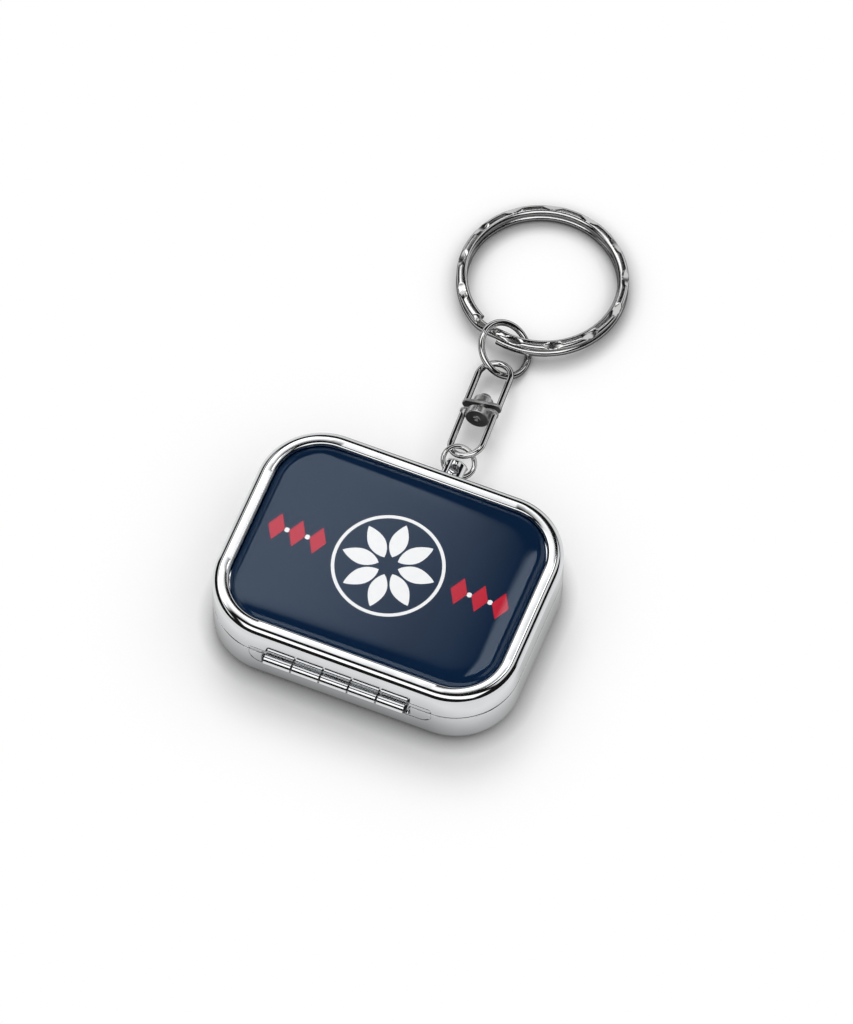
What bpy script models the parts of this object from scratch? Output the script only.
# A keyring tin case: a hinged plated box with a domed label let into its lid, and on its
# far wall a chain with a swivel and a two-turn split ring.
# The origin is the middle of the underside. +X runs along the box, +Y from the hinge to the
# chain and +Z up. The chain lies as it does on a table: from the lug down to the surface.
import math

import bmesh
import bpy
from mathutils import Matrix, Vector

MM = 0.001

# the box
CASE_LENGTH = 47.0 * MM
CASE_WIDTH = 35.4 * MM
CASE_CORNER = 9.9 * MM
WALL = 1.0 * MM
FLOOR = 1.0 * MM
PARTING_HEIGHT = 7.35 * MM
PARTING_GAP = 0.3 * MM
BOTTOM_FILLET = 2.2 * MM
INSIDE_FILLET = 0.8 * MM
LIP_CHAMFER = 0.12 * MM
SEAT_GAP = 0.2 * MM
CORNER_STEPS = 9
FILLET_STEPS = 4

# the band inside the base that the lid closes over
BAND_SHEET = 0.6 * MM
BAND_HEADROOM = 1.05 * MM
BAND_CHAMFER = 0.25 * MM
BAND_GAP = 0.15 * MM

# the lid's rim and the stack that is let into it
RIM_HEIGHT = 12.8 * MM
RIM_WIDTH = 2.55 * MM
RIM_SHOULDER = 1.0 * MM
RIM_BEVEL = 0.35 * MM
RIM_BEVEL_DROP = 0.45 * MM
RECESS_DEPTH = 1.5 * MM
RECESS_CORNER = 7.0 * MM
LID_PANEL = 0.8 * MM
STACK_GAP = 0.08 * MM
STACK_SIDE_GAP = 0.12 * MM
FILM_SHEET = 0.15 * MM
LABEL_SHEET = 0.35 * MM
DOME_EDGE = 0.3 * MM
DOME_RISE = 0.66 * MM
DOME_STEP_SHARES = (0.0, 0.015, 0.045, 0.1, 0.18, 0.3, 0.46, 0.68)
DOME_FULLNESS = 3.2

# the hinge
HINGE_STANDOFF = 0.55 * MM
KNUCKLE_RADIUS = 0.92 * MM
KNUCKLE_PITCH = 4.4 * MM
KNUCKLE_GAP = 0.3 * MM
KNUCKLE_COUNT = 5
BARREL_CENTRE = -1.0 * MM
PIN_RADIUS = 0.4 * MM
PIN_CLEARANCE = 0.08 * MM
PIN_HEAD_RADIUS = 0.68 * MM
PIN_HEAD = 0.3 * MM
LEAF_SHEET = 0.4 * MM
BASE_LEAF_STRIP = 1.25 * MM
LID_LEAF_STRIP = 0.34 * MM
LEAF_OVERHANG = 0.15 * MM
POCKET_DEPTH = 0.68 * MM
POCKET_HALF_LENGTH = 14.2 * MM
POCKET_CENTRE = -0.4 * MM
POCKET_TOP_CORNER = 0.4 * MM
POCKET_FOOT_CORNER = 1.9 * MM
POCKET_TOP_MARGIN = 0.2 * MM
POCKET_FOOT_MARGIN = 0.7 * MM
TURNING_GAP = 0.12 * MM

# the lug on the far wall
LUG_ALONG = 1.6 * MM
LUG_HEIGHT = 5.2 * MM
LUG_RADIUS = 1.9 * MM
LUG_LENGTH = 5.2 * MM
LUG_EDGE = 0.45 * MM
TENON_RADIUS = 1.0 * MM
TENON_CLEARANCE = 0.1 * MM
EYE_WEB = 0.25 * MM
EYE_CLEARANCE = 0.15 * MM
WASHER_RADIUS = 2.0 * MM
WASHER_SHEET = 0.5 * MM
LUG_HEAD_RADIUS = 1.5 * MM
LUG_HEAD = 0.45 * MM
PEENED_SHARE = 0.65

# the lower jump ring
LOWER_RING_OUTSIDE = 5.6 * MM
LOWER_RING_WIRE = 0.75 * MM
LOWER_RING_ROLL = math.radians(-20.0)
LOWER_RING_YAW = math.radians(-4.0)
LOWER_SLACK = 0.5 * MM
LOWER_CLEARANCE = 0.25 * MM
LOWER_LIFT = 0.15 * MM

# the swivel
LOOP_WIRE = 0.95 * MM
LOOP_SPACING = 5.0 * MM
SWIVEL_LENGTH = 18.0 * MM
SWIVEL_YAW = math.radians(3.7)
UPPER_LOOP_ROLL = math.radians(10.0)
SWIVEL_GAP = 0.5 * MM
PLATE_SHEET = 0.45 * MM
PLATE_OVERHANG = 0.05 * MM
PLATE_WIDTH = 2.1 * MM
BOSS_GAP = 0.15 * MM
BOSS_LENGTH = 1.3 * MM
BOSS_CHAMFER = 0.25 * MM
LEG_GAP = 0.15 * MM
RIVET_RADIUS = 0.55 * MM
RIVET_CLEARANCE = 0.08 * MM
RIVET_HEAD_RADIUS = 0.95 * MM
RIVET_DOME = 0.6 * MM
RIVET_TAIL_RADIUS = 0.85 * MM
RIVET_TAIL = 0.3 * MM
RIVET_HEAD_GAP = 0.1 * MM

# the upper jump ring
UPPER_RING_OUTSIDE = 9.2 * MM
UPPER_RING_WIRE = 1.0 * MM
UPPER_RING_YAW = math.radians(2.0)
UPPER_SLACK = 0.6 * MM
UPPER_DROP = 0.15 * MM

# the split ring: two turns of flattened wire that step past each other beside the ends
SPLIT_OUTSIDE = 25.6 * MM
SPLIT_WIDE = 1.65 * MM
SPLIT_THICK = 1.0 * MM
SPLIT_TURN_GAP = 0.45 * MM
SPLIT_YAW = math.radians(-3.1)
SPLIT_OFFSET = 1.45 * MM
SPLIT_CLEARANCE = 0.42 * MM
SPLIT_SEAT = 0.45 * MM
SPLIT_STEP_ANGLE = math.radians(-17.5)
SPLIT_TURN_STEPS = 40
SPLIT_STEP_POINTS = 5
SECTION_STEPS = 10
SECTION_SQUARENESS = 2.8

# how finely round shapes are drawn, and how far a cutter runs past what it cuts
ROUND_STEPS = 24
WIRE_SIDES = 2
LOWER_RING_STEPS = 36
UPPER_RING_STEPS = 44
BEND_STEPS = 16
OVERRUN = 1.0 * MM

CHROME = (0.78, 0.79, 0.80)
DARK_CHROME = (0.62, 0.63, 0.65)
BRIGHT_NICKEL = (0.70, 0.70, 0.69)
NAVY = (0.008, 0.022, 0.060)


def clear_scene():
    for obj in list(bpy.data.objects):
        bpy.data.objects.remove(obj)


def principled(name, colour, roughness, metallic):
    material = bpy.data.materials.new(name)
    material.use_nodes = True
    shader = material.node_tree.nodes["Principled BSDF"]
    shader.inputs["Base Color"].default_value = (*colour, 1.0)
    shader.inputs["Roughness"].default_value = roughness
    shader.inputs["Metallic"].default_value = metallic
    material.diffuse_color = (*colour, 1.0)
    return material


def plated(name, colour=CHROME, roughness=0.12):
    return principled(name, colour, roughness, 1.0)


def clear_resin(name):
    material = principled(name, (0.92, 0.95, 1.0), 0.03, 0.0)
    material.node_tree.nodes["Principled BSDF"].inputs["Transmission Weight"].default_value = 1.0
    return material


def quarter_turns(corners, steps=CORNER_STEPS):
    """Points round four corner arcs, each given by its centre and its radius, counter-clockwise."""
    points = []
    for quarter, (x, y, radius) in enumerate(corners):
        for step in range(steps + 1):
            angle = (quarter + step / steps) * math.pi / 2.0
            points.append((x + radius * math.cos(angle), y + radius * math.sin(angle)))
    return points


def rounded_outline(half_x, half_y, corner):
    x, y = half_x - corner, half_y - corner
    return quarter_turns(((x, y, corner), (-x, y, corner), (-x, -y, corner), (x, -y, corner)))


def stadium_outline(half_length, radius, steps=ROUND_STEPS // 2):
    """Two half circles and the straight sides between them."""
    points = []
    for side in (1, -1):
        for step in range(steps + 1):
            angle = math.pi * (step / steps - 0.5)
            points.append((side * (half_length - radius + radius * math.cos(angle)),
                           side * radius * math.sin(angle)))
    return points


def case_loop(inset, height):
    outline = rounded_outline(CASE_LENGTH / 2.0 - inset, CASE_WIDTH / 2.0 - inset,
                              CASE_CORNER - inset)
    return [(x, y, height) for x, y in outline]


def recess_loop(inset, height):
    outline = rounded_outline(CASE_LENGTH / 2.0 - RIM_WIDTH - inset,
                              CASE_WIDTH / 2.0 - RIM_WIDTH - inset, RECESS_CORNER - inset)
    return [(x, y, height) for x, y in outline]


def lofted(name, loops, ring=False):
    """A solid through loops of equal length: capped at both ends, or closed on itself."""
    mesh = bpy.data.meshes.new(name)
    bm = bmesh.new()
    rows = [[bm.verts.new(point) for point in loop] for loop in loops]
    pairs = list(zip(rows, rows[1:])) + ([(rows[-1], rows[0])] if ring else [])
    for low, high in pairs:
        for i in range(len(low)):
            j = (i + 1) % len(low)
            bm.faces.new((low[i], low[j], high[j], high[i]))
    if not ring:
        bm.faces.new(rows[0][::-1])
        bm.faces.new(rows[-1])
    bmesh.ops.recalc_face_normals(bm, faces=bm.faces)
    bm.to_mesh(mesh)
    bm.free()
    return bpy.data.objects.new(name, mesh)


def circle(radius, height, steps=ROUND_STEPS):
    return [(radius * math.cos(2.0 * math.pi * i / steps),
             radius * math.sin(2.0 * math.pi * i / steps), height) for i in range(steps)]


def turned(name, profile, steps=ROUND_STEPS):
    """A solid turned about +Z from (radius, height) pairs that run from foot to top."""
    return lofted(name, [circle(radius, height, steps) for radius, height in profile])


def prism(name, outline, start, end):
    """An outline in the XY plane, carried from one height to another."""
    return lofted(name, [[(x, y, height) for x, y in outline] for height in (start, end)])


def wire(name, points, diameter, closed):
    """A round wire along a path, as a curve with a bevel and filled ends."""
    curve = bpy.data.curves.new(name, "CURVE")
    curve.dimensions = "3D"
    curve.bevel_depth = diameter / 2.0
    curve.bevel_resolution = WIRE_SIDES
    curve.use_fill_caps = True
    spline = curve.splines.new("POLY")
    spline.points.add(len(points) - 1)
    for target, point in zip(spline.points, points):
        target.co = (*point, 1.0)
    spline.use_cyclic_u = closed
    spline.use_smooth = True
    return bpy.data.objects.new(name, curve)


def add(obj, material, sharp=math.radians(35.0)):
    bpy.context.scene.collection.objects.link(obj)
    obj.data.materials.append(material)
    if obj.type == "MESH":
        obj.data.shade_smooth()
        obj.data.set_sharp_from_angle(angle=sharp)
    return obj


def carry(obj, pivot, world):
    """Hangs an object on a pivot, at the place that it has in the world."""
    obj.parent = pivot
    obj.matrix_basis = pivot_frames[pivot.name].inverted() @ world
    return obj


def new_pivot(name, world, parent=None):
    empty = bpy.data.objects.new(name, None)
    empty.empty_display_size = KNUCKLE_PITCH
    bpy.context.scene.collection.objects.link(empty)
    empty.parent = parent
    base = pivot_frames[parent.name].inverted() if parent else Matrix.Identity(4)
    empty.matrix_basis = base @ world
    pivot_frames[name] = world
    return empty


def boolean(target, other, operation):
    """Cuts or joins with a helper body, which stays in the file as a guide."""
    if other.name not in bpy.context.scene.collection.objects:
        bpy.context.scene.collection.objects.link(other)
    other.hide_render = True
    other.display_type = "WIRE"
    modifier = target.modifiers.new(other.name, "BOOLEAN")
    modifier.operation = operation
    modifier.solver = "EXACT"
    modifier.object = other


def frame_at(origin, yaw, slope, roll):
    """Local +Y runs along the chain. Roll lifts the right side, slope lowers the far end."""
    turn = (Matrix.Rotation(yaw, 4, "Z") @ Matrix.Rotation(-slope, 4, "X")
            @ Matrix.Rotation(-roll, 4, "Y"))
    return Matrix.Translation(origin) @ turn


def crossing_reach(ring_radius, bend_radius, distance):
    """How far out of the chain's line two linked circles cross, seen from above."""
    along = (distance ** 2 + ring_radius ** 2 - bend_radius ** 2) / (2.0 * distance)
    return math.sqrt(ring_radius ** 2 - along ** 2)


def turn_y(world):
    """Local +Z of a turned piece laid along the frame's +Y."""
    return world @ Matrix.Rotation(-math.pi / 2.0, 4, "X")


# sizes that follow from the ones above
BASE_TOP = PARTING_HEIGHT - PARTING_GAP / 2.0
LID_FOOT = PARTING_HEIGHT + PARTING_GAP / 2.0
PANEL_TOP = RIM_HEIGHT - RECESS_DEPTH
CEILING = PANEL_TOP - LID_PANEL
HINGE_Y = -(CASE_WIDTH / 2.0 + HINGE_STANDOFF)
POCKET_FLOOR = HINGE_STANDOFF + POCKET_DEPTH
LEAF_BACK = POCKET_FLOOR - STACK_GAP
LEAF_FRONT = LEAF_BACK - LEAF_SHEET
SWEEP_RADIUS = KNUCKLE_RADIUS + TURNING_GAP
LEAF_START = math.sqrt(SWEEP_RADIUS ** 2 - LEAF_FRONT ** 2)
POCKET_RISE = LEAF_START + LID_LEAF_STRIP + POCKET_TOP_MARGIN
POCKET_DROP = LEAF_START + BASE_LEAF_STRIP + POCKET_FOOT_MARGIN
BARREL_LENGTH = KNUCKLE_COUNT * KNUCKLE_PITCH - KNUCKLE_GAP
FAR_WALL = CASE_WIDTH / 2.0

lower_ring_radius = (LOWER_RING_OUTSIDE - LOWER_RING_WIRE) / 2.0
upper_ring_radius = (UPPER_RING_OUTSIDE - UPPER_RING_WIRE) / 2.0
bend_radius = LOOP_SPACING / 2.0
split_radius = (SPLIT_OUTSIDE - SPLIT_WIDE) / 2.0
split_height = 2.0 * SPLIT_THICK + SPLIT_TURN_GAP
ring_at_mouth = math.sqrt(lower_ring_radius ** 2 - LUG_RADIUS ** 2)
eye_far = (lower_ring_radius - ring_at_mouth
           + LOWER_RING_WIRE / 2.0 * lower_ring_radius / ring_at_mouth)
eye_radius = (eye_far + LOWER_RING_WIRE / 2.0) / 2.0 + EYE_CLEARANCE
eye_offset = (eye_far - LOWER_RING_WIRE / 2.0) / 2.0
pivot_frames = {}


def lower_apex_reach():
    """How far past the lower ring's middle the loop's bend begins."""
    return lower_ring_radius - (LOWER_RING_WIRE + LOOP_WIRE) / 2.0 - LOWER_SLACK


def lower_loop_roll():
    """The loop's tilt that lets it pass through the lower ring without touching it."""
    reach = crossing_reach(lower_ring_radius, bend_radius, lower_apex_reach() + bend_radius)
    needed = (LOWER_RING_WIRE + LOOP_WIRE) / 2.0 + LOWER_CLEARANCE
    return 2.0 * math.asin(needed / (2.0 * reach)) + LOWER_RING_ROLL


def upper_ring_roll():
    """The ring leans so that both turns of the split ring pass between its limbs."""
    chord = math.sqrt(upper_ring_radius ** 2 - SPLIT_OFFSET ** 2)
    lean = (split_height + UPPER_RING_WIRE + 2.0 * SPLIT_CLEARANCE) / (2.0 * chord)
    return -math.asin(lean)


def chain_frames():
    """World frames of the chain's links, from the lug's eye to the split ring."""
    eye = Vector((LUG_ALONG, FAR_WALL + LUG_LENGTH - EYE_WEB - eye_radius, LUG_HEIGHT))
    lug_eye = frame_at(eye, LOWER_RING_YAW, 0.0, LOWER_RING_ROLL)
    lower_ring = lug_eye @ Matrix.Translation((0.0, lower_ring_radius - eye_offset, 0.0))

    apex = lower_ring @ Vector((0.0, lower_apex_reach(), 0.0)) + Vector((0.0, 0.0, LOWER_LIFT))
    roll = upper_ring_roll()
    ring_height = upper_ring_radius * math.sin(-roll) + UPPER_RING_WIRE / 2.0
    slope = math.asin((apex.z - ring_height + UPPER_DROP) / SWIVEL_LENGTH)
    lower_loop = frame_at(apex, SWIVEL_YAW, slope, lower_loop_roll())
    middle = lower_loop @ Vector((0.0, SWIVEL_LENGTH / 2.0, 0.0))
    end = lower_loop @ Vector((0.0, SWIVEL_LENGTH, 0.0))
    lower_half = frame_at(middle, SWIVEL_YAW, slope, lower_loop_roll())
    upper_half = frame_at(middle, SWIVEL_YAW, slope, UPPER_LOOP_ROLL)

    link = upper_ring_radius - (LOOP_WIRE + UPPER_RING_WIRE) / 2.0 - UPPER_SLACK
    end.z = ring_height
    upper_ring = frame_at(end, UPPER_RING_YAW, 0.0, roll) @ Matrix.Translation((0.0, link, 0.0))

    chord = math.sqrt(upper_ring_radius ** 2 - SPLIT_OFFSET ** 2)
    rise = ring_height - chord * math.sin(-roll) + UPPER_RING_WIRE / 2.0 + SPLIT_SEAT
    tilt = math.asin(rise / SPLIT_OUTSIDE)
    centre = frame_at(upper_ring.translation, SPLIT_YAW, tilt, 0.0)
    centre = centre @ Vector((0.0, split_radius + SPLIT_OFFSET, 0.0))
    centre.z = SPLIT_OUTSIDE / 2.0 * math.sin(tilt) + split_height / 2.0 * math.cos(tilt)
    split_ring = frame_at(centre, SPLIT_YAW, tilt, 0.0)
    return {"lug_eye": lug_eye, "lower_ring": lower_ring, "lower_half": lower_half,
            "upper_half": upper_half, "upper_ring": upper_ring, "split_ring": split_ring}


def pocket_cutter(name):
    """The shallow pocket in the near wall that takes the hinge, with wide arches below."""
    top, foot = POCKET_TOP_CORNER, POCKET_FOOT_CORNER
    top_x, foot_x = POCKET_HALF_LENGTH - top, POCKET_HALF_LENGTH - foot
    high, low = POCKET_RISE - top, foot - POCKET_DROP
    outline = quarter_turns(((top_x, high, top), (-top_x, high, top),
                             (-foot_x, low, foot), (foot_x, low, foot)))
    cutter = prism(name, outline, -OVERRUN - KNUCKLE_RADIUS, POCKET_FLOOR)
    stand = Matrix.Rotation(math.pi / 2.0, 4, "X") @ Matrix.Rotation(math.pi, 4, "Y")
    cutter.data.transform(stand)
    cutter.location = (POCKET_CENTRE, HINGE_Y, PARTING_HEIGHT)
    return cutter


def tenon_cutter(name, start, end):
    bore = TENON_RADIUS + TENON_CLEARANCE
    cutter = turned(name, [(bore, start), (bore, end)])
    cutter.matrix_basis = turn_y(Matrix.Translation((LUG_ALONG, 0.0, LUG_HEIGHT)))
    return cutter


def make_base_shell(pivot):
    """A drawn tray: round bottom edge, one wall, chamfered lip."""
    loops = []
    for step in range(FILLET_STEPS + 2):
        angle = step / (FILLET_STEPS + 1) * math.pi / 2.0
        loops.append(case_loop(BOTTOM_FILLET * (1.0 - math.sin(angle)),
                               BOTTOM_FILLET * (1.0 - math.cos(angle))))
    loops.append(case_loop(0.0, BASE_TOP - LIP_CHAMFER))
    loops.append(case_loop(LIP_CHAMFER, BASE_TOP))
    loops.append(case_loop(WALL, BASE_TOP))
    for step in range(FILLET_STEPS + 1):
        angle = step / FILLET_STEPS * math.pi / 2.0
        loops.append(case_loop(WALL + INSIDE_FILLET * (1.0 - math.cos(angle)),
                               FLOOR + INSIDE_FILLET * (1.0 - math.sin(angle))))
    shell = add(lofted("base_shell", loops), plated("base_plating"))
    boolean(shell, pocket_cutter("base_pocket_cutter"), "DIFFERENCE")
    boolean(shell, tenon_cutter("wall_hole_cutter", FAR_WALL - WALL - OVERRUN / 2.0,
                                FAR_WALL + OVERRUN), "DIFFERENCE")
    return carry(shell, pivot, Matrix.Identity(4))


def make_neck_band(pivot):
    """A band seated inside the base. It stands above the parting, a little below the lid's
    ceiling, and the lid goes over it."""
    outside = WALL + BAND_GAP
    inside = outside + BAND_SHEET
    foot = FLOOR + INSIDE_FILLET + SEAT_GAP
    top = CEILING - BAND_HEADROOM
    loops = [case_loop(outside, foot), case_loop(outside, top - BAND_CHAMFER),
             case_loop(outside + BAND_CHAMFER, top), case_loop(inside, top),
             case_loop(inside, foot)]
    band = add(lofted("neck_band", loops, ring=True), plated("band_plating", roughness=0.2))
    boolean(band, tenon_cutter("band_hole_cutter", FAR_WALL - inside - OVERRUN,
                               FAR_WALL - outside + BAND_GAP / 2.0), "DIFFERENCE")
    return carry(band, pivot, Matrix.Identity(4))


def make_lid_shell(pivot):
    """A drawn cover whose rim stands proud of its panel, with a rolled outer shoulder."""
    loops = [case_loop(LIP_CHAMFER, LID_FOOT), case_loop(0.0, LID_FOOT + LIP_CHAMFER)]
    for step in range(FILLET_STEPS + 2):
        angle = step / (FILLET_STEPS + 1) * math.pi / 2.0
        loops.append(case_loop(RIM_SHOULDER * (1.0 - math.cos(angle)),
                               RIM_HEIGHT - RIM_SHOULDER * (1.0 - math.sin(angle))))
    loops.append(recess_loop(-RIM_BEVEL, RIM_HEIGHT))
    loops.append(recess_loop(0.0, RIM_HEIGHT - RIM_BEVEL_DROP))
    loops.append(recess_loop(0.0, PANEL_TOP))
    under = [case_loop(WALL, LID_FOOT)]
    for step in range(FILLET_STEPS + 1):
        angle = step / FILLET_STEPS * math.pi / 2.0
        under.append(case_loop(WALL + INSIDE_FILLET * (1.0 - math.cos(angle)),
                               CEILING - INSIDE_FILLET * (1.0 - math.sin(angle))))
    shell = add(lofted("lid_shell", under[::-1] + loops), plated("lid_plating"))
    boolean(shell, pocket_cutter("lid_pocket_cutter"), "DIFFERENCE")
    return carry(shell, pivot, Matrix.Identity(4))


def make_label_stack(pivot):
    """The glued film, the printed plate and the cast resin over it, let into the recess."""
    film_foot = PANEL_TOP + STACK_GAP
    label_foot = film_foot + FILM_SHEET + STACK_GAP
    dome_foot = label_foot + LABEL_SHEET + STACK_GAP
    film = lofted("label_adhesive", [recess_loop(2.0 * STACK_SIDE_GAP, film_foot),
                                     recess_loop(2.0 * STACK_SIDE_GAP, film_foot + FILM_SHEET)])
    add(film, principled("adhesive", (0.75, 0.75, 0.72), 0.5, 0.0))
    label = lofted("label_plate", [recess_loop(STACK_SIDE_GAP, label_foot),
                                   recess_loop(STACK_SIDE_GAP, label_foot + LABEL_SHEET)])
    add(label, principled("label_print", NAVY, 0.35, 0.0))
    foot = recess_loop(STACK_SIDE_GAP, dome_foot)
    loops = [foot]
    for share in DOME_STEP_SHARES:
        height = dome_foot + DOME_EDGE + DOME_RISE * (1.0 - (1.0 - share) ** DOME_FULLNESS)
        loops.append([(x * (1.0 - share), y * (1.0 - share), height) for x, y, z in foot])
    dome = add(lofted("resin_dome", loops), clear_resin("resin"), math.radians(60.0))
    return [carry(piece, pivot, Matrix.Identity(4)) for piece in (film, label, dome)]


def leaf_section(near, far):
    """A strip in the pocket, seen along the barrel, from one height off the axis to another."""
    return [(LEAF_FRONT, near), (LEAF_BACK, near), (LEAF_BACK, far), (LEAF_FRONT, far)]


def along_barrel(name, section, start, end):
    """A section in the hinge's own (Y, Z) plane, carried along the barrel."""
    loops = [[(x, y, z) for y, z in section] for x in (start, end)]
    return lofted(name, loops)


def barrel_cylinder(name, radius, start, end):
    section = [(y, z) for y, z, x in circle(radius, 0.0)]
    return along_barrel(name, section, start, end)


def make_hinge_leaf(name, material, pivot, strip, first):
    """A leaf with every second knuckle and a web from each to its strip in the pocket.
    A negative strip lies below the axis."""
    left = -BARREL_LENGTH / 2.0
    start_height = math.copysign(LEAF_START, strip)
    place = Matrix.Translation((BARREL_CENTRE, HINGE_Y, PARTING_HEIGHT))
    section = leaf_section(start_height, start_height + strip)
    leaf = add(along_barrel(name, section, left - LEAF_OVERHANG, LEAF_OVERHANG - left), material)
    for index in range(first, KNUCKLE_COUNT, 2):
        start = left + index * KNUCKLE_PITCH
        end = start + KNUCKLE_PITCH - KNUCKLE_GAP
        web_section = leaf_section(0.0, start_height + strip / 2.0)
        web = along_barrel(f"{name}_web_{index}_guide", web_section, start, end)
        knuckle = barrel_cylinder(f"{name}_knuckle_{index}_guide", KNUCKLE_RADIUS, start, end)
        for guide in (web, knuckle):
            carry(guide, pivot, place)
            boolean(leaf, guide, "UNION")
    bore = barrel_cylinder(f"{name}_bore_cutter", PIN_RADIUS + PIN_CLEARANCE,
                           left - OVERRUN, -left + OVERRUN)
    carry(bore, pivot, place)
    boolean(leaf, bore, "DIFFERENCE")
    return carry(leaf, pivot, place)


def make_hinge_pin(pivot):
    """A wire pin with both ends peened over."""
    half = BARREL_LENGTH / 2.0 + TURNING_GAP
    profile = [(PIN_RADIUS, -half - PIN_HEAD), (PIN_HEAD_RADIUS, -half - PIN_HEAD / 2.0),
               (PIN_HEAD_RADIUS, -half), (PIN_RADIUS, -half), (PIN_RADIUS, half),
               (PIN_HEAD_RADIUS, half), (PIN_HEAD_RADIUS, half + PIN_HEAD / 2.0),
               (PIN_RADIUS, half + PIN_HEAD)]
    pin = add(turned("hinge_pin", profile), plated("pin_steel", DARK_CHROME, 0.25))
    place = Matrix.Translation((BARREL_CENTRE, HINGE_Y, PARTING_HEIGHT))
    return carry(pin, pivot, place @ Matrix.Rotation(math.pi / 2.0, 4, "Y"))


def eye_cutter(frames):
    """The lug's cross hole. It is as wide as the ring's wire and its bow inside the lug, so
    the ring turns about the middle of the hole."""
    reach = LUG_RADIUS + OVERRUN
    cutter = turned("lug_eye_cutter", [(eye_radius, -reach), (eye_radius, reach)])
    cutter.matrix_basis = frames["lug_eye"] @ Matrix.Rotation(math.pi / 2.0, 4, "Y")
    return cutter


def make_lug(pivot, frames):
    """A turned post: its tenon goes through wall, band and washer and is peened over."""
    inner = FAR_WALL - WALL - BAND_GAP - BAND_SHEET - SEAT_GAP - WASHER_SHEET - STACK_GAP
    shoulder = FAR_WALL + STACK_GAP
    end = FAR_WALL + LUG_LENGTH
    profile = [(LUG_HEAD_RADIUS * PEENED_SHARE, inner - LUG_HEAD),
               (LUG_HEAD_RADIUS, inner - LUG_HEAD / 2.0), (LUG_HEAD_RADIUS, inner),
               (TENON_RADIUS, inner), (TENON_RADIUS, shoulder), (LUG_RADIUS, shoulder)]
    for step in range(FILLET_STEPS + 1):
        angle = step / FILLET_STEPS * math.pi / 2.0
        profile.append((LUG_RADIUS - LUG_EDGE * (1.0 - math.cos(angle)),
                        end - LUG_EDGE * (1.0 - math.sin(angle))))
    lug = add(turned("chain_lug", profile), plated("lug_plating"))
    boolean(lug, eye_cutter(frames), "DIFFERENCE")
    return carry(lug, pivot, turn_y(Matrix.Translation((LUG_ALONG, 0.0, LUG_HEIGHT))))


def make_lug_washer(pivot):
    back = FAR_WALL - WALL - BAND_GAP - BAND_SHEET - SEAT_GAP
    bore = TENON_RADIUS + TENON_CLEARANCE
    loops = [circle(WASHER_RADIUS, back - WASHER_SHEET), circle(WASHER_RADIUS, back),
             circle(bore, back), circle(bore, back - WASHER_SHEET)]
    washer = add(lofted("lug_washer", loops, ring=True), plated("washer_steel", DARK_CHROME, 0.3))
    return carry(washer, pivot, turn_y(Matrix.Translation((LUG_ALONG, 0.0, LUG_HEIGHT))))


def make_lower_jump_ring(pivot, frames):
    path = circle(lower_ring_radius, 0.0, LOWER_RING_STEPS)
    ring = add(wire("lower_jump_ring", path, LOWER_RING_WIRE, True),
               plated("lower_ring_nickel", BRIGHT_NICKEL))
    return carry(ring, pivot, frames["lower_ring"])


def loop_path():
    """One leg, the bend at the far end and the other leg, from the swivel's middle out."""
    foot = SWIVEL_GAP / 2.0 + PLATE_SHEET + LEG_GAP
    bend = SWIVEL_LENGTH / 2.0 - bend_radius
    points = [(bend_radius, foot, 0.0)]
    for step in range(BEND_STEPS + 1):
        angle = step / BEND_STEPS * math.pi
        points.append((bend_radius * math.cos(angle), bend + bend_radius * math.sin(angle), 0.0))
    return points + [(-bend_radius, foot, 0.0)]


def make_swivel_loop(name, pivot, half_frame):
    loop = add(wire(name, loop_path(), LOOP_WIRE, False), plated(name + "_nickel", BRIGHT_NICKEL))
    return carry(loop, pivot, half_frame)


def make_swivel_bridge(name, pivot, half_frame):
    """The plate that carries both legs, with a round boss between them and a rivet bore."""
    plate_foot = SWIVEL_GAP / 2.0
    boss_top = plate_foot + PLATE_SHEET + BOSS_LENGTH
    outline = stadium_outline(bend_radius + LOOP_WIRE / 2.0 + PLATE_OVERHANG, PLATE_WIDTH / 2.0)
    world = turn_y(half_frame)
    bridge = add(prism(name, outline, plate_foot, plate_foot + PLATE_SHEET),
                 plated(name + "_steel", DARK_CHROME, 0.22))
    boss_radius = bend_radius - LOOP_WIRE / 2.0 - BOSS_GAP
    boss = turned(name + "_boss_guide",
                  [(boss_radius, plate_foot + PLATE_SHEET / 2.0),
                   (boss_radius, boss_top - BOSS_CHAMFER), (boss_radius - BOSS_CHAMFER, boss_top)])
    bore_radius = RIVET_RADIUS + RIVET_CLEARANCE
    bore = turned(name + "_bore_cutter", [(bore_radius, plate_foot - OVERRUN / 2.0),
                                          (bore_radius, boss_top + OVERRUN)])
    carry(boss, pivot, world)
    carry(bore, pivot, world)
    boolean(bridge, boss, "UNION")
    boolean(bridge, bore, "DIFFERENCE")
    return carry(bridge, pivot, world)


def make_swivel_rivet(pivot, frames):
    """The rivet both halves turn on: a tail in the lower half and a dome in the upper."""
    seat = SWIVEL_GAP / 2.0 + PLATE_SHEET + BOSS_LENGTH + RIVET_HEAD_GAP
    profile = [(RIVET_TAIL_RADIUS * PEENED_SHARE, -seat - RIVET_TAIL),
               (RIVET_TAIL_RADIUS, -seat - RIVET_TAIL / 2.0), (RIVET_TAIL_RADIUS, -seat),
               (RIVET_RADIUS, -seat), (RIVET_RADIUS, seat), (RIVET_HEAD_RADIUS, seat)]
    for step in range(1, FILLET_STEPS):
        angle = step / FILLET_STEPS * math.pi / 2.0
        profile.append((RIVET_HEAD_RADIUS * math.cos(angle), seat + RIVET_DOME * math.sin(angle)))
    rivet = add(turned("swivel_rivet", profile), plated("rivet_steel", DARK_CHROME, 0.2))
    return carry(rivet, pivot, turn_y(frames["lower_half"]))


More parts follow.
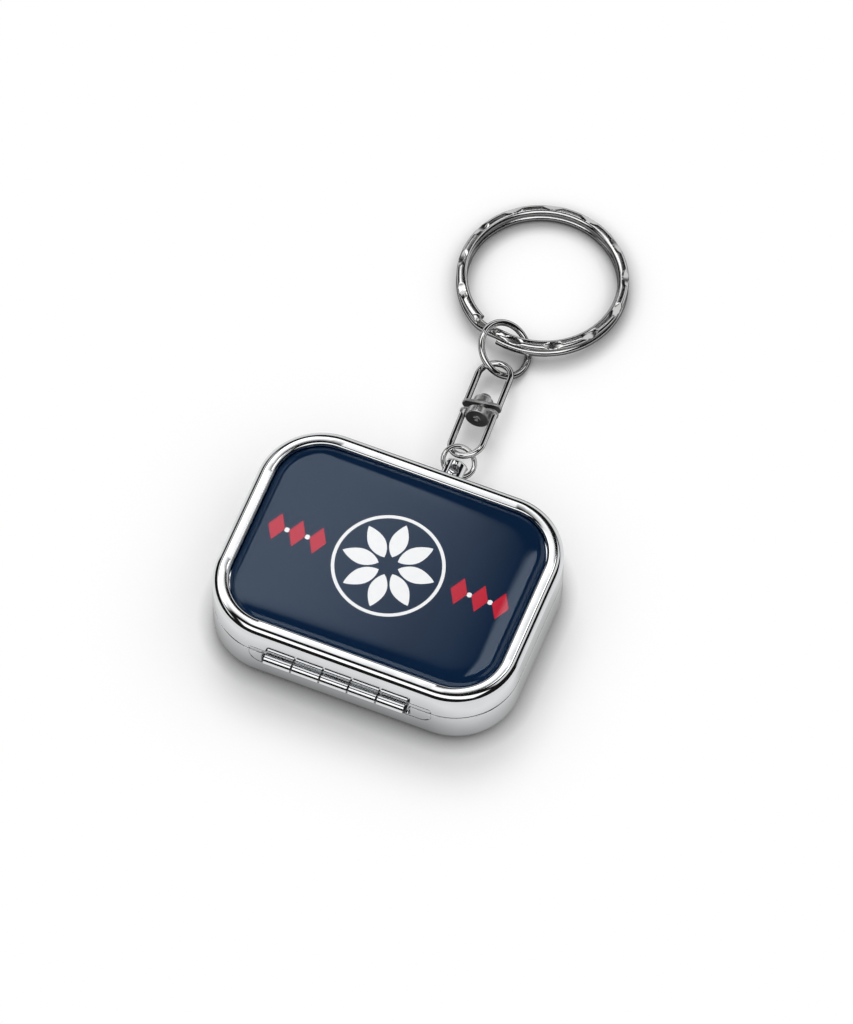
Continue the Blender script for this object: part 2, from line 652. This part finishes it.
def make_upper_jump_ring(pivot, frames):
    path = circle(upper_ring_radius, 0.0, UPPER_RING_STEPS)
    ring = add(wire("upper_jump_ring", path, UPPER_RING_WIRE, True),
               plated("upper_ring_nickel", BRIGHT_NICKEL))
    return carry(ring, pivot, frames["upper_ring"])


def split_ring_path():
    """(angle, height) along both turns. Angle zero faces the case. The lower turn comes first,
    steps up where the two ends face each other, and the upper turn follows it round."""
    rise = SPLIT_THICK + SPLIT_TURN_GAP
    step = 2.0 * math.pi / SPLIT_TURN_STEPS
    turn = [SPLIT_STEP_ANGLE + step * i for i in range(1, SPLIT_TURN_STEPS)]
    path = [(angle, -rise / 2.0) for angle in turn]
    for i in range(1, SPLIT_STEP_POINTS + 1):
        share = i / (SPLIT_STEP_POINTS + 1)
        height = rise * (share * share * (3.0 - 2.0 * share) - 0.5)
        path.append((SPLIT_STEP_ANGLE + 2.0 * math.pi + step * (2.0 * share - 1.0), height))
    return path + [(angle + 2.0 * math.pi, rise / 2.0) for angle in turn]


def split_section():
    """The flattened wire in section, as (out, up) offsets round its middle."""
    points = []
    for i in range(SECTION_STEPS):
        angle = 2.0 * math.pi * (i + 0.5) / SECTION_STEPS
        c, s = math.cos(angle), math.sin(angle)
        size = (abs(c) ** SECTION_SQUARENESS + abs(s) ** SECTION_SQUARENESS) ** (
            -1.0 / SECTION_SQUARENESS)
        points.append((SPLIT_WIDE / 2.0 * size * c, SPLIT_THICK / 2.0 * size * s))
    return points


def make_split_ring(pivot, frames):
    section = split_section()
    loops = []
    for angle, height in split_ring_path():
        loops.append([((split_radius + out) * math.sin(angle),
                       -(split_radius + out) * math.cos(angle), height + up)
                      for out, up in section])
    ring = add(lofted("split_ring", loops), plated("split_ring_nickel", BRIGHT_NICKEL))
    print("split ring: least gap between its turns", round(least_turn_gap(loops) / MM, 3), "mm")
    return carry(ring, pivot, frames["split_ring"])


def least_turn_gap(loops):
    """The least distance between points of the ring more than a third of a turn apart."""
    apart = SPLIT_TURN_STEPS // 3
    least = SPLIT_OUTSIDE
    for i, loop in enumerate(loops):
        for other in loops[i + apart:]:
            if (Vector(loop[0]) - Vector(other[0])).length > split_height:
                continue
            for point in loop:
                for rival in other:
                    least = min(least, (Vector(point) - Vector(rival)).length)
    return least


def main():
    clear_scene()
    frames = chain_frames()
    case = new_pivot("case_frame", Matrix.Identity(4))
    lid = new_pivot("lid_pivot", Matrix.Translation((BARREL_CENTRE, HINGE_Y, PARTING_HEIGHT)),
                    case)
    lug_pivot = new_pivot("lower_ring_pivot", frames["lug_eye"], case)
    lower_pivot = new_pivot("lower_swivel_pivot", frames["lower_ring"], lug_pivot)
    spin_pivot = new_pivot("swivel_spin_pivot", frames["upper_half"], lower_pivot)
    upper_pivot = new_pivot("upper_ring_pivot", frames["upper_ring"], spin_pivot)
    split_pivot = new_pivot("split_ring_pivot",
                            frame_at(frames["upper_ring"].translation, SPLIT_YAW, 0.0, 0.0),
                            upper_pivot)

    make_base_shell(case)
    make_neck_band(case)
    make_lid_shell(lid)
    make_label_stack(lid)
    make_hinge_leaf("hinge_leaf_base", plated("base_leaf_plating"), case, -BASE_LEAF_STRIP, 0)
    make_hinge_leaf("hinge_leaf_lid", plated("lid_leaf_plating"), lid, LID_LEAF_STRIP, 1)
    make_hinge_pin(case)
    make_lug(case, frames)
    make_lug_washer(case)
    make_lower_jump_ring(lug_pivot, frames)
    mirrored = frames["lower_half"] @ Matrix.Rotation(math.pi, 4, "Z")
    make_swivel_loop("swivel_lower_loop", lower_pivot, mirrored)
    make_swivel_bridge("swivel_lower_bridge", lower_pivot, mirrored)
    make_swivel_rivet(lower_pivot, frames)
    make_swivel_bridge("swivel_upper_bridge", spin_pivot, frames["upper_half"])
    make_swivel_loop("swivel_upper_loop", spin_pivot, frames["upper_half"])
    make_upper_jump_ring(upper_pivot, frames)
    make_split_ring(split_pivot, frames)


main()
